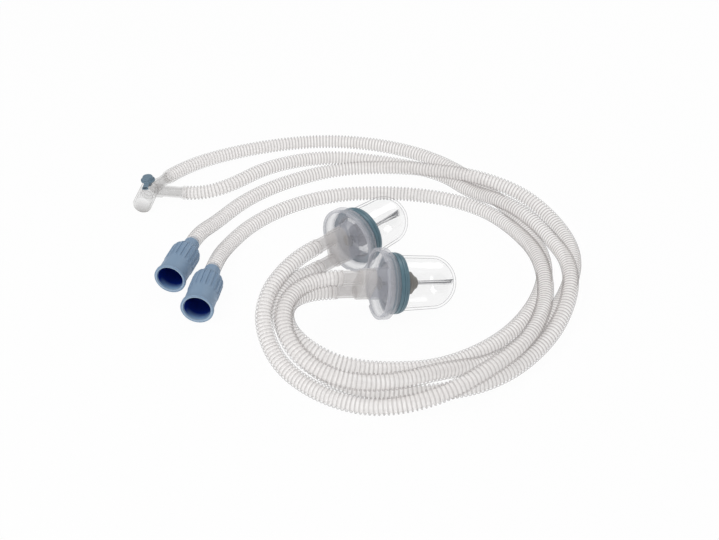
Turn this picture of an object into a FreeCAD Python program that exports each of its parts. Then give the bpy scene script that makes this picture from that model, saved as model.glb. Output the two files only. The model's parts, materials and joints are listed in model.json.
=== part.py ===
"""Neonatal breathing circuit: two limbs of corrugated hose, each with an in-line water trap.

The patient wye, the two machine cuffs and the two traps lie on a table as they come out of the
bag, and four lengths of 14 mm hose join them. All sizes are in millimetres, +Z is up, and the
origin is the bottom centre of the rigid pieces. A trap is described along its own axis, with
zero at the rear rim of its lid and the jar in front.
"""

import FreeCAD, Part
import math
import os

Vec = FreeCAD.Vector

# Hose
HOSE_OD = 14.0
HOSE_ID = 10.5
ARC_SHARE = 0.45            # share of the shorter run that an arc takes on each side of its point
SPIGOT_LENGTH = 6.0         # how far each hose end is pushed over its spigot
SPIGOT_GAP = 0.15           # radial clearance of a spigot in the hose bore
AIRWAY_R = 4.0              # bore of spigots, arms and ports

# Clearances of the moving pieces
RUN_GAP = 0.3

# Trap lid, along the trap axis
LID_R = 29.8
LID_RIM_WALL = 2.0
LID_DEPTH = 8.4
LID_CHAMFER = 0.9
WEB = 2.0                   # disc that closes the rim at the front
RIM_BEAD = 0.7              # bead inside the rear edge of the rim
RIM_BEAD_LENGTH = 1.4
NOTCH_WIDTH = 7.0
NOTCH_DEPTH = 1.6
NOTCH_COUNT = 2
SKIRT_REAR_R = 26.6         # translucent skirt that covers the rear of the collar
SKIRT_FRONT_R = 25.4
SKIRT_WALL = 1.3
SKIRT_LENGTH = 3.9
NECK_R = 19.0               # neck that carries the collar
NECK_WALL = 2.6
NECK_LENGTH = 8.6
RING_SECTION = 1.3          # seal ring in the groove of the neck
RING_GROOVE_WIDTH = 1.7
RING_FROM_WEB = 4.5
SEAT_R = 4.2                # valve opening in the web
FIN_COUNT = 4               # fins that guide the valve
FIN_THICKNESS = 1.4
FIN_INNER_R = 5.2
FIN_OUTER_R = 9.0
FIN_LENGTH = 9.6

# Valve chamber and its two ports, behind the lid
CHAMBER_LENGTH = 34.0
CHAMBER_WIDTH = 16.0
CHAMBER_WALL = 1.6
CHAMBER_DEPTH = 17.0        # from the rear rim plane to the back of the chamber
CHAMBER_STEP = 0.6          # how much the lid's half of the chamber stands out
SEAM_DEPTH = 4.7            # seam between the lid and the manifold
BAFFLE = 1.2
BAFFLE_GAP = 1.3            # from the seam back to the edge of the baffle
PORT_R = 6.0
PORT_SPACING = 20.0
PORT_LENGTH = 16.0
PORT_RING_R = 6.5           # shoulder that the hose end stops against
PORT_RING_LENGTH = 1.2

# Collar
COLLAR_R = 25.7
COLLAR_NOSE_R = 24.3
COLLAR_FRONT = 20.0         # front face, from the rear rim plane
COLLAR_GROOVE_AT = 15.5
COLLAR_GROOVE_WIDTH = 0.8
COLLAR_GROOVE_DEPTH = 0.6
SOCKET_FLOOR = 14.0         # bottom of the annular slot that takes the jar rim

# Jar
JAR_R = 23.2
JAR_SHOULDER_R = 22.2
JAR_WALL = 2.0
JAR_SHOULDER_AT = 49.0
JAR_DOME = 20.0
JAR_SIDE_ARC = 17.0         # radius where the wall turns into the dome
ROD_R = 1.7
ROD_TIP_AT = 35.0
ROD_FLARE_FROM = 47.0
ROD_FOOT_WIDTH = 7.4
ROD_FOOT_THICKNESS = 3.0

# Valve: a soft cone with a stem and a plate
VALVE_R = 10.5
VALVE_WALL = 1.2
VALVE_SKIRT_FROM = 14.0
VALVE_SKIRT_TO = 27.0
VALVE_NOSE = 7.7            # length of the stepped nose in front of the skirt
VALVE_STEM_R = 1.6
VALVE_PLATE_R = 5.5
VALVE_PLATE = 1.2
VALVE_LIFT = 3.3            # gap from the plate to its seat while the jar is fitted

# Machine cuffs, along the cuff axis from the open mouth
CUFF_R = 12.9
CUFF_FLANGE_R = 14.0
CUFF_FLANGE = 3.0
CUFF_BARREL = 38.0
CUFF_SHOULDER_TO = 46.0
CUFF_NECK_R = 7.5
CUFF_NECK_TO = 52.0
CUFF_LENGTH = 56.0
CUFF_END_R = 7.0
CUFF_BORE_R = 11.0
CUFF_BORE_DEPTH = 26.0
CUFF_LEAD_R = 12.0
CUFF_LEAD = 1.6
CUFF_CONE_TO = 41.0
RIB_COUNT = 18
RIB_WIDTH = 1.8
RIB_HEIGHT = 0.8
RIB_FROM = 19.5

# Patient wye
WYE_R = 9.0
WYE_BORE_R = 7.5
WYE_BORE_DEPTH = 15.0
WYE_LENGTH = 28.0           # from the hub centre to the mouth
WYE_INNER_R = 6.0
ARM_R = 5.5
ARM_ROOT_R = 6.6            # arms thicken where they leave the hub
ARM_ROOT_LENGTH = 14.0
ARM_A_LENGTH = 29.5
ARM_B_LENGTH = 33.7
STAND_R = 6.1               # upright test port on the hub
STAND_BORE_R = 3.4
STAND_TOP = 19.6

# Cap of the test port
CAP_R = 6.9
CAP_FLANGE = 1.8
CAP_KNOB_R = 5.4
CAP_KNOB = 3.2
CAP_PLUG = 5.0
CAP_PLUG_GAP = 0.05
CAP_TAB_WIDTH = 5.2
CAP_TAB_THICKNESS = 1.4
CAP_TAB_LENGTH = 9.5        # how far the finger tab reaches past the flange
CAP_TAB_FOOT = 1.4
CAP_TAB_LIP = 1.0

# Where the pieces lie: position, azimuth and, for the traps, tilt and twist in degrees
FRONT_TRAP = {"x": 84.4, "y": -96.7, "azimuth": 16.0, "tilt": 9.5, "twist": 24.0}
BACK_TRAP = {"x": 58.5, "y": -32.8, "azimuth": 45.5, "tilt": 0.0, "twist": -9.0}
CUFF_C = {"x": -92.6, "y": -67.0, "azimuth": 78.0}
CUFF_D = {"x": -63.8, "y": -109.7, "azimuth": 83.5}
WYE_AT = {"x": -137.4, "y": 91.8}
WYE_PATIENT_AZIMUTH = -94.5
WYE_ARM_A_AZIMUTH = 61.7
WYE_ARM_B_AZIMUTH = -5.1
WYE_ARM_DROP = 2.0          # degrees by which the arms fall towards the table

# Free points of each hose, between the straight exits at its two ends
EXIT_RUN = 15.5             # from a trap port to the first point of its hose
WYE_EXIT_RUN = 17.0
CUFF_EXIT_RUN = 17.4
ROUTE_A = [
    (-86.4, 159.5, 7.1), (-32.4, 185.9, 7.2), (34.3, 199.5, 7.6), (100.9, 187.8, 7.1),
    (155.4, 153.5, 7.3), (196.1, 96.7, 7.1), (224.5, 34.2, 7.1), (237.5, -33.4, 7.1),
    (220.3, -92.6, 7.1), (184.9, -143.7, 7.2), (134.6, -175.8, 7.1), (88.1, -190.1, 16.2),
    (56.5, -191.5, 22.9), (32.7, -181.9, 29.5), (16.7, -164.7, 33.3), (10.9, -144.7, 34.8),
    (14.0, -127.9, 34.5), (21.8, -116.1, 32.6),
]
ROUTE_B = [
    (-58.3, 95.8, 11.1), (-21.2, 131.3, 14.3), (36.0, 161.6, 8.6), (98.0, 151.5, 7.1),
    (153.5, 127.0, 8.0), (178.5, 92.3, 7.1), (201.8, 57.5, 19.5), (223.8, 24.3, 22.9),
    (241.2, -13.5, 21.4), (251.5, -56.8, 23.5), (244.6, -102.0, 21.0), (221.2, -148.0, 12.0),
    (177.5, -189.9, 7.1), (125.5, -206.3, 7.3), (75.6, -204.6, 7.1), (38.5, -182.0, 7.2),
    (13.4, -146.9, 12.6), (1.0, -113.2, 19.0), (6.2, -89.5, 21.7), (16.7, -75.7, 21.3),
]
ROUTE_C = [
    (-65.5, 33.9, 7.1), (-42.3, 74.9, 7.1), (-7.2, 108.8, 7.1), (45.4, 137.4, 7.1),
    (100.6, 135.8, 10.6), (146.4, 114.2, 19.0), (188.2, 89.1, 24.9), (228.9, 67.7, 18.5),
    (256.9, 27.8, 8.3), (264.2, -21.9, 7.1), (249.7, -72.1, 7.2), (229.0, -110.5, 7.1),
    (205.4, -142.2, 7.1), (172.5, -171.2, 7.2), (133.7, -192.6, 19.9), (96.4, -212.4, 24.6),
    (60.0, -216.8, 28.7), (30.0, -204.4, 36.3), (13.9, -181.2, 44.6), (11.4, -156.5, 49.6),
    (17.6, -135.9, 49.8), (28.0, -122.1, 48.6),
]
ROUTE_D = [
    (-49.8, -6.3, 8.1), (-32.0, 30.7, 7.1), (0.0, 63.3, 7.2), (45.1, 86.4, 7.1),
    (99.8, 90.4, 7.1), (151.7, 80.4, 7.1), (191.2, 57.3, 7.2), (215.3, 13.5, 11.6),
    (227.9, -45.4, 22.6), (225.1, -105.3, 22.2), (202.5, -163.1, 25.1), (166.1, -197.4, 23.4),
    (129.1, -218.8, 16.2), (84.2, -223.6, 7.9), (44.6, -209.6, 7.1), (8.5, -178.3, 9.8),
    (-8.0, -140.6, 23.2), (-3.9, -112.1, 33.9), (6.9, -89.5, 37.3), (15.3, -76.5, 38.7),
]

# Values that follow from the ones above
SPIGOT_R = HOSE_ID / 2 - SPIGOT_GAP
WEB_REAR = LID_DEPTH - WEB
WEB_MIDDLE = LID_DEPTH - WEB / 2
SKIRT_FRONT = LID_DEPTH + SKIRT_LENGTH
NECK_FRONT = LID_DEPTH + NECK_LENGTH
NECK_BORE_R = NECK_R - NECK_WALL
PORT_END = -(CHAMBER_DEPTH + PORT_LENGTH)
JAR_RIM = SOCKET_FLOOR + RUN_GAP
VALVE_PLATE_FRONT = WEB_REAR - VALVE_LIFT


def place(origin, axis, up):
    """Placement that turns local +Z to axis and local +Y as near as it can to up."""
    z = Vec(axis).normalize()
    x = Vec(up).cross(z).normalize()
    y = z.cross(x)
    matrix = FreeCAD.Matrix(
        x.x, y.x, z.x, origin.x,
        x.y, y.y, z.y, origin.y,
        x.z, y.z, z.z, origin.z,
        0, 0, 0, 1,
    )
    return FreeCAD.Placement(matrix)


def direction(azimuth, drop=0.0):
    """Unit vector at an azimuth from +X, falling below the horizontal by drop degrees."""
    a = math.radians(azimuth)
    d = math.radians(drop)
    return Vec(math.cos(d) * math.cos(a), math.cos(d) * math.sin(a), -math.sin(d))


def turned(points):
    """Solid of revolution about local Z from (radius, height) points."""
    wire = Part.makePolygon([Vec(r, 0, h) for r, h in points + points[:1]])
    return Part.Face(wire).revolve(Vec(0, 0, 0), Vec(0, 0, 1), 360)


def rod(radius, low, high, x=0.0, y=0.0):
    """Cylinder along local Z between two heights."""
    return Part.makeCylinder(radius, high - low, Vec(x, y, low))


def obround(length, width, low, high):
    """Prism with round ends along local Y, between two heights."""
    half = (length - width) / 2
    radius = width / 2
    right = Part.Arc(Vec(radius, half, low), Vec(0, half + radius, low), Vec(-radius, half, low))
    left = Part.Arc(Vec(-radius, -half, low), Vec(0, -half - radius, low), Vec(radius, -half, low))
    side_a = Part.LineSegment(Vec(-radius, half, low), Vec(-radius, -half, low))
    side_b = Part.LineSegment(Vec(radius, -half, low), Vec(radius, half, low))
    wire = Part.Wire([right.toShape(), side_a.toShape(), left.toShape(), side_b.toShape()])
    return Part.Face(wire).extrude(Vec(0, 0, high - low))


def slab(x_size, y_size, low, high, x=0.0, y=0.0):
    """Box centred on (x, y), between two heights."""
    corner = Vec(x - x_size / 2, y - y_size / 2, low)
    return Part.makeBox(x_size, y_size, high - low, corner)


def around(shape, count, start=0.0):
    """Copies of a shape, evenly spaced about local Z."""
    copies = []
    for i in range(count):
        copy = shape.copy()
        copy.rotate(Vec(0, 0, 0), Vec(0, 0, 1), start + i * 360.0 / count)
        copies.append(copy)
    return copies


def tapered_end(radius, low, high):
    """Hose spigot with a small lead-in at its tip, pointing down local Z."""
    tip = 0.5
    return turned([(0, high), (radius, high), (radius, low + tip), (radius - tip, low), (0, low)])


def make_lid():
    """Lid: rim, web, skirt, neck with its ring groove, guide fins and half of the chamber."""
    rim = turned([
        (0, WEB_REAR), (LID_R - LID_RIM_WALL, WEB_REAR),
        (LID_R - LID_RIM_WALL, RIM_BEAD_LENGTH), (LID_R - LID_RIM_WALL - RIM_BEAD, RIM_BEAD_LENGTH),
        (LID_R - LID_RIM_WALL - RIM_BEAD, 0), (LID_R - LID_CHAMFER / 2, 0), (LID_R, LID_CHAMFER / 2),
        (LID_R, LID_DEPTH - LID_CHAMFER), (LID_R - LID_CHAMFER, LID_DEPTH), (0, LID_DEPTH),
    ])
    skirt = turned([
        (SKIRT_REAR_R - SKIRT_WALL, WEB_MIDDLE), (SKIRT_REAR_R, WEB_MIDDLE), (SKIRT_REAR_R, LID_DEPTH),
        (SKIRT_FRONT_R, SKIRT_FRONT), (SKIRT_FRONT_R - SKIRT_WALL, SKIRT_FRONT),
        (SKIRT_REAR_R - SKIRT_WALL, LID_DEPTH),
    ])
    neck = turned([
        (NECK_BORE_R, WEB_MIDDLE), (NECK_R, WEB_MIDDLE), (NECK_R, NECK_FRONT - 0.6),
        (NECK_R - 0.6, NECK_FRONT), (NECK_BORE_R, NECK_FRONT),
    ])
    ring_at = LID_DEPTH + RING_FROM_WEB
    groove = rod(NECK_R + 1, ring_at - RING_GROOVE_WIDTH / 2, ring_at + RING_GROOVE_WIDTH / 2)
    groove = groove.cut(rod(NECK_R - RING_SECTION, 0, NECK_FRONT))
    fin_mid = (FIN_INNER_R + FIN_OUTER_R) / 2
    fin = slab(FIN_OUTER_R - FIN_INNER_R, FIN_THICKNESS, WEB_MIDDLE, LID_DEPTH + FIN_LENGTH, fin_mid)
    chamber = obround(
        CHAMBER_LENGTH + 2 * CHAMBER_STEP, CHAMBER_WIDTH + 2 * CHAMBER_STEP, -SEAM_DEPTH, WEB_MIDDLE
    )
    lid = rim.fuse([skirt, neck.cut(groove), chamber] + around(fin, FIN_COUNT, 45.0))
    inside = obround(
        CHAMBER_LENGTH - 2 * CHAMBER_WALL, CHAMBER_WIDTH - 2 * CHAMBER_WALL, -SEAM_DEPTH, WEB_REAR
    )
    seat = rod(SEAT_R, 0, LID_DEPTH)
    notch = slab(NOTCH_WIDTH, 2 * (LID_RIM_WALL + RIM_BEAD) + 2, -1, NOTCH_DEPTH, 0, LID_R)
    return lid.cut([inside, seat] + around(notch, NOTCH_COUNT, 0.0)).removeSplitter()


def make_manifold():
    """Rear half of the valve chamber with the baffle and the two hose ports."""
    body = obround(CHAMBER_LENGTH, CHAMBER_WIDTH, -CHAMBER_DEPTH, -SEAM_DEPTH)
    ports = []
    bores = []
    for side in (-1, 1):
        y = side * PORT_SPACING / 2
        ports.append(rod(PORT_R, PORT_END, -CHAMBER_DEPTH, 0, y))
        ports.append(rod(PORT_RING_R, PORT_END, PORT_END + PORT_RING_LENGTH, 0, y))
        spigot = tapered_end(SPIGOT_R, PORT_END - SPIGOT_LENGTH, PORT_END)
        spigot.translate(Vec(0, y, 0))
        ports.append(spigot)
        bores.append(rod(AIRWAY_R, PORT_END - SPIGOT_LENGTH, -CHAMBER_DEPTH + CHAMBER_WALL, 0, y))
    inside = obround(
        CHAMBER_LENGTH - 2 * CHAMBER_WALL, CHAMBER_WIDTH - 2 * CHAMBER_WALL,
        -CHAMBER_DEPTH + CHAMBER_WALL, -SEAM_DEPTH,
    )
    shell = body.fuse(ports).cut([inside] + bores)
    baffle = slab(
        CHAMBER_WIDTH - CHAMBER_WALL, BAFFLE, -CHAMBER_DEPTH + CHAMBER_WALL / 2,
        -SEAM_DEPTH - BAFFLE_GAP,
    )
    return shell.fuse(baffle).removeSplitter()


def make_collar():
    """Soft collar that turns on the neck and holds the jar rim in its annular slot."""
    rear = LID_DEPTH + RUN_GAP
    step = SKIRT_FRONT + RUN_GAP
    rear_r = SKIRT_FRONT_R - SKIRT_WALL - RUN_GAP
    collar = turned([
        (NECK_R + RUN_GAP, rear), (rear_r, rear), (rear_r, step), (COLLAR_R, step),
        (COLLAR_R, COLLAR_GROOVE_AT + COLLAR_GROOVE_WIDTH), (COLLAR_NOSE_R, COLLAR_FRONT),
        (JAR_R + RUN_GAP, COLLAR_FRONT), (JAR_R + RUN_GAP, SOCKET_FLOOR),
        (JAR_R - JAR_WALL - RUN_GAP, SOCKET_FLOOR), (JAR_R - JAR_WALL - RUN_GAP, COLLAR_FRONT),
        (NECK_R + RUN_GAP, COLLAR_FRONT),
    ])
    low = COLLAR_GROOVE_AT - COLLAR_GROOVE_WIDTH / 2
    groove = rod(COLLAR_R + 1, low, low + COLLAR_GROOVE_WIDTH)
    groove = groove.cut(rod(COLLAR_R - COLLAR_GROOVE_DEPTH, low, low + COLLAR_GROOVE_WIDTH))
    return collar.cut(groove)


def make_ring():
    """Seal ring in the neck groove."""
    centre = Vec(0, 0, LID_DEPTH + RING_FROM_WEB)
    return Part.makeTorus(NECK_R - RING_SECTION / 2, RING_SECTION / 2, centre)


def make_valve():
    """Soft valve cone with its stem and plate, turned in one profile."""
    skirt = VALVE_SKIRT_TO
    inner = VALVE_R - VALVE_WALL
    front = VALVE_PLATE_FRONT
    return turned([
        (0, front - VALVE_PLATE), (VALVE_PLATE_R, front - VALVE_PLATE), (VALVE_PLATE_R, front),
        (VALVE_STEM_R, front), (VALVE_STEM_R, skirt + 0.66 * VALVE_NOSE),
        (0.36 * VALVE_R, skirt + 0.66 * VALVE_NOSE), (0.57 * VALVE_R, skirt + 0.42 * VALVE_NOSE),
        (0.78 * VALVE_R, skirt + 0.2 * VALVE_NOSE), (inner, skirt - 0.6), (inner, VALVE_SKIRT_FROM),
        (VALVE_R, VALVE_SKIRT_FROM), (VALVE_R, skirt), (0.9 * VALVE_R, skirt + 0.32 * VALVE_NOSE),
        (0.69 * VALVE_R, skirt + 0.58 * VALVE_NOSE), (0.5 * VALVE_R, skirt + 0.91 * VALVE_NOSE),
        (0.3 * VALVE_R, skirt + VALVE_NOSE), (0, skirt + VALVE_NOSE),
    ])


def dome(radius, height, low, side):
    """Two tangent arcs in the XZ plane, from the wall up to the crown; side is the lower arc's radius."""
    inset = radius - side
    crown = (height ** 2 + inset ** 2 - side ** 2) / (2 * (height - side))
    centre = low + height - crown
    slope = math.atan2(low - centre, inset)
    join = Vec(crown * math.cos(slope), 0, centre + crown * math.sin(slope))

    def on_side(angle):
        return Vec(inset + side * math.cos(angle), 0, low + side * math.sin(angle))

    def on_crown(angle):
        return Vec(crown * math.cos(angle), 0, centre + crown * math.sin(angle))

    top = Vec(0, 0, low + height)
    lower = Part.Arc(Vec(radius, 0, low), on_side(slope / 2), join).toShape()
    upper = Part.Arc(join, on_crown((slope + math.pi / 2) / 2), top).toShape()
    return [lower, upper]


def turned_edges(edges):
    """Solid of revolution about local Z from the edges of a closed profile."""
    wire = Part.Wire(Part.__sortEdges__(edges))
    return Part.Face(wire).revolve(Vec(0, 0, 0), Vec(0, 0, 1), 360)


def line(start, end):
    """Straight edge in the XZ plane between two (radius, height) points."""
    return Part.makeLine(Vec(start[0], 0, start[1]), Vec(end[0], 0, end[1]))


def make_jar():
    """Clear jar with its dome and the rod that holds the valve open."""
    low = JAR_SHOULDER_AT
    crown = low + JAR_DOME
    outside = turned_edges([
        line((0, JAR_RIM), (JAR_R, JAR_RIM)),
        line((JAR_R, JAR_RIM), (JAR_R, COLLAR_FRONT)),
        line((JAR_R, COLLAR_FRONT), (JAR_SHOULDER_R, low)),
        *dome(JAR_SHOULDER_R, JAR_DOME, low, JAR_SIDE_ARC),
        line((0, crown), (0, JAR_RIM)),
    ])
    wall = JAR_WALL
    inside = turned_edges([
        line((0, JAR_RIM), (JAR_R - wall, JAR_RIM)),
        line((JAR_R - wall, JAR_RIM), (JAR_R - wall, COLLAR_FRONT)),
        line((JAR_R - wall, COLLAR_FRONT), (JAR_SHOULDER_R - wall, low)),
        *dome(JAR_SHOULDER_R - wall, JAR_DOME - wall, low, JAR_SIDE_ARC - wall),
        line((0, crown - wall), (0, JAR_RIM)),
    ])
    shell = outside.cut(inside)
    foot_at = crown - 0.6 * JAR_WALL
    stem = rod(ROD_R, ROD_TIP_AT, ROD_FLARE_FROM)
    start = Part.Wire(Part.makeCircle(ROD_R, Vec(0, 0, ROD_FLARE_FROM)))
    foot = Part.Ellipse(
        Vec(0, ROD_FOOT_WIDTH / 2, foot_at), Vec(-ROD_FOOT_THICKNESS / 2, 0, foot_at), Vec(0, 0, foot_at)
    )
    flare = Part.makeLoft([start, Part.Wire(foot.toShape())], True, True)
    return shell.fuse([stem, flare]).removeSplitter()


def make_cuff():
    """Machine cuff: 22 mm socket, flange, grip ribs, domed shoulder and hose spigot."""
    shoulder = Part.Arc(
        Vec(CUFF_R, 0, CUFF_BARREL),
        Vec(CUFF_NECK_R + 0.62 * (CUFF_R - CUFF_NECK_R), 0, CUFF_BARREL + 0.66 * (CUFF_SHOULDER_TO - CUFF_BARREL)),
        Vec(CUFF_NECK_R, 0, CUFF_SHOULDER_TO),
    )

    def outline(extra):
        """Closed wire of the cuff from the flange to its end, widened by extra on the grip."""
        grip = shoulder.toShape()
        grip.translate(Vec(extra, 0, 0))
        points = [
            Vec(0, 0, 0), Vec(CUFF_FLANGE_R - 0.5, 0, 0), Vec(CUFF_FLANGE_R, 0, 0.5),
            Vec(CUFF_FLANGE_R, 0, CUFF_FLANGE), Vec(CUFF_R + extra, 0, CUFF_FLANGE + 0.5),
            Vec(CUFF_R + extra, 0, CUFF_BARREL),
        ]
        tail = [
            Vec(CUFF_NECK_R + extra, 0, CUFF_SHOULDER_TO), Vec(CUFF_NECK_R, 0, CUFF_SHOULDER_TO + 0.01),
            Vec(CUFF_NECK_R, 0, CUFF_NECK_TO), Vec(CUFF_END_R, 0, CUFF_NECK_TO + 0.3),
            Vec(CUFF_END_R, 0, CUFF_LENGTH), Vec(0, 0, CUFF_LENGTH), Vec(0, 0, 0),
        ]
        edges = Part.makePolygon(points).Edges + [grip] + Part.makePolygon(tail).Edges
        return Part.Wire(Part.__sortEdges__(edges))

    def revolved(extra):
        return Part.Face(outline(extra)).revolve(Vec(0, 0, 0), Vec(0, 0, 1), 360)

    body = revolved(0.0)
    reach = CUFF_R + RIB_HEIGHT + 1
    rib = slab(reach, RIB_WIDTH, RIB_FROM, CUFF_SHOULDER_TO, reach / 2)
    ribs = [r.common(revolved(RIB_HEIGHT)) for r in around(rib, RIB_COUNT)]
    spigot = tapered_end(SPIGOT_R, -CUFF_LENGTH - SPIGOT_LENGTH, -CUFF_LENGTH)
    spigot.rotate(Vec(0, 0, 0), Vec(1, 0, 0), 180)
    bore = turned([
        (0, 0), (CUFF_LEAD_R, 0), (CUFF_BORE_R, CUFF_LEAD), (CUFF_BORE_R, CUFF_BORE_DEPTH),
        (AIRWAY_R, CUFF_CONE_TO), (AIRWAY_R, CUFF_LENGTH + SPIGOT_LENGTH), (0, CUFF_LENGTH + SPIGOT_LENGTH),
    ])
    return body.fuse(ribs + [spigot]).cut(bore).removeSplitter()


def wye_hub():
    """Centre of the wye: its patient tube lies on the table."""
    return Vec(WYE_AT["x"], WYE_AT["y"], WYE_R)


def wye_arms():
    """Axis and length of each hose arm of the wye."""
    return {
        "A": (direction(WYE_ARM_A_AZIMUTH, WYE_ARM_DROP), ARM_A_LENGTH),
        "B": (direction(WYE_ARM_B_AZIMUTH, WYE_ARM_DROP), ARM_B_LENGTH),
    }


def make_wye():
    """Patient wye: 15 mm patient socket, two hose arms and an upright test port."""
    hub = wye_hub()
    patient = place(hub, direction(WYE_PATIENT_AZIMUTH), Vec(0, 0, 1))
    tube = rod(WYE_R, 0, WYE_LENGTH)
    tube.Placement = patient
    solids = [Part.makeSphere(WYE_R, hub)]
    socket = rod(WYE_BORE_R, WYE_LENGTH - WYE_BORE_DEPTH, WYE_LENGTH)
    inner = rod(WYE_INNER_R, 0, WYE_LENGTH - WYE_BORE_DEPTH)
    socket.Placement = patient
    inner.Placement = patient
    bores = [socket, inner, Part.makeSphere(WYE_INNER_R, hub)]
    for axis, length in wye_arms().values():
        arm = rod(ARM_R, 0, length).fuse(rod(ARM_ROOT_R, 0, ARM_ROOT_LENGTH))
        spigot = tapered_end(SPIGOT_R, -length - SPIGOT_LENGTH, -length)
        spigot.rotate(Vec(0, 0, 0), Vec(1, 0, 0), 180)
        arm = arm.fuse(spigot)
        arm.Placement = place(hub, axis, Vec(0, 0, 1))
        solids.append(arm)
        bore = rod(AIRWAY_R, 0, length + SPIGOT_LENGTH)
        bore.Placement = place(hub, axis, Vec(0, 0, 1))
        bores.append(bore)
    solids.append(rod(STAND_R, hub.z, STAND_TOP, hub.x, hub.y))
    bores.append(rod(STAND_BORE_R, hub.z, STAND_TOP, hub.x, hub.y))
    return tube.fuse(solids).cut(bores).removeSplitter()


def make_cap():
    """Cap of the test port: knob, flange, plug and the finger tab over the patient tube."""
    hub = wye_hub()
    low = STAND_TOP
    top = low + CAP_FLANGE
    profile = turned([
        (0, low - CAP_PLUG), (STAND_BORE_R - CAP_PLUG_GAP - 0.4, low - CAP_PLUG),
        (STAND_BORE_R - CAP_PLUG_GAP, low - CAP_PLUG + 0.4), (STAND_BORE_R - CAP_PLUG_GAP, low),
        (CAP_R, low), (CAP_R, top - 0.4), (CAP_R - 0.4, top), (CAP_KNOB_R, top),
        (CAP_KNOB_R - 0.3, top + CAP_KNOB - 0.9), (CAP_KNOB_R - 1.2, top + CAP_KNOB), (0, top + CAP_KNOB),
    ])
    reach = CAP_R + CAP_TAB_LENGTH
    inside = CAP_KNOB_R / 2
    tab = slab(CAP_TAB_WIDTH, reach - inside, low, low + CAP_TAB_THICKNESS, 0, -(reach + inside) / 2)
    foot = slab(
        CAP_TAB_WIDTH + 0.8, CAP_TAB_FOOT, low - CAP_TAB_LIP, low + CAP_TAB_THICKNESS,
        0, -reach + CAP_TAB_FOOT / 2,
    )
    cap = profile.fuse([tab, foot]).removeSplitter()
    cap.translate(Vec(hub.x, hub.y, 0))
    return cap


def trap_frame(spec):
    """Placement of a trap: the rim of the lid stands on the table."""
    axis = direction(spec["azimuth"], spec["tilt"])
    tilt = math.radians(spec["tilt"])
    height = LID_R * math.cos(tilt) + (LID_DEPTH - LID_CHAMFER) * math.sin(tilt)
    up = Vec(0, 0, 1) - axis * axis.z
    up.normalize()
    side = axis.cross(up)
    twist = math.radians(spec["twist"])
    line = up * math.cos(twist) + side * math.sin(twist)
    return place(Vec(spec["x"], spec["y"], height), axis, line)


def cuff_frame(spec):
    """Placement of a cuff: the flange lies on the table."""
    return place(Vec(spec["x"], spec["y"], CUFF_FLANGE_R), direction(spec["azimuth"]), Vec(0, 0, 1))


def trap_exit(spec, side):
    """End of a trap port and the first free point of its hose; side is 1 above and -1 below."""
    frame = trap_frame(spec)
    y = side * PORT_SPACING / 2
    return frame.multVec(Vec(0, y, PORT_END)), frame.multVec(Vec(0, y, PORT_END - EXIT_RUN))


def cuff_exit(spec):
    """End of a cuff and the first free point of its hose."""
    frame = cuff_frame(spec)
    end = frame.multVec(Vec(0, 0, CUFF_LENGTH))
    free = frame.multVec(Vec(0, 0, CUFF_LENGTH + CUFF_EXIT_RUN))
    return end, free


def wye_exit(arm):
    """End of a wye arm and the first free point of its hose."""
    axis, length = wye_arms()[arm]
    return wye_hub() + axis * length, wye_hub() + axis * (length + WYE_EXIT_RUN)


def route(start, free, end):
    """All points of a hose, from one fitting to the other."""
    middle = [Vec(*p) for p in free]
    return [start[0], start[1]] + middle + [end[1], end[0]]


def hose_path(points):
    """Straight runs joined by tangent arcs; returns the edges and the arc radii."""
    edges = []
    radii = []
    last = points[0]
    for before, corner, after in zip(points, points[1:], points[2:]):
        back = before - corner
        ahead = after - corner
        shorter = min(back.Length, ahead.Length)
        turn = math.pi - back.getAngle(ahead)
        reach = ARC_SHARE * shorter
        radius = reach / math.tan(turn / 2)
        back.normalize()
        ahead.normalize()
        start = corner + back * reach
        end = corner + ahead * reach
        bisector = back + ahead
        bisector.normalize()
        middle = corner + bisector * (radius / math.cos(turn / 2) - radius)
        edges.append(Part.LineSegment(last, start).toShape())
        edges.append(Part.Arc(start, middle, end).toShape())
        radii.append(radius)
        last = end
    edges.append(Part.LineSegment(last, points[-1]).toShape())
    return edges, radii


def make_hose(name, points):
    """Plain tube along the route; prints its radii, length and volume."""
    edges, radii = hose_path(points)
    path = Part.Wire(edges)
    along = points[1] - points[0]
    tubes = []
    for diameter in (HOSE_OD, HOSE_ID):
        ring = Part.Wire(Part.makeCircle(diameter / 2, points[0], along))
        tubes.append(path.makePipeShell([ring], True, False))
    tube = tubes[0].cut(tubes[1])
    length = sum(e.Length for e in edges)
    section = math.pi / 4 * (HOSE_OD ** 2 - HOSE_ID ** 2)
    print(name, "length", round(length, 1), "volume ratio", round(tube.Volume / (section * length), 4))
    print("   radii", [round(r) for r in radii])
    return tube


def build():
    """All pieces by node name."""
    front = trap_frame(FRONT_TRAP)
    back = trap_frame(BACK_TRAP)
    pieces = {"patient_wye": make_wye(), "port_cap": make_cap()}
    for name, spec in (("cuff_c", CUFF_C), ("cuff_d", CUFF_D)):
        cuff = make_cuff()
        cuff.Placement = cuff_frame(spec)
        pieces["machine_" + name] = cuff
    makers = {
        "lid": make_lid, "manifold": make_manifold, "collar": make_collar,
        "seal_ring": make_ring, "valve": make_valve, "jar": make_jar,
    }
    for side, frame in (("front", front), ("back", back)):
        for name, maker in makers.items():
            piece = maker()
            piece.Placement = frame.multiply(piece.Placement)
            pieces[side + "_" + name] = piece
    routes = {
        "hose_a": route(wye_exit("A"), ROUTE_A, trap_exit(FRONT_TRAP, -1)),
        "hose_b": route(wye_exit("B"), ROUTE_B, trap_exit(BACK_TRAP, -1)),
        "hose_c": route(cuff_exit(CUFF_C), ROUTE_C, trap_exit(FRONT_TRAP, 1)),
        "hose_d": route(cuff_exit(CUFF_D), ROUTE_D, trap_exit(BACK_TRAP, 1)),
    }
    for name, points in routes.items():
        pieces[name] = make_hose(name, points)
    return pieces


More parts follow.
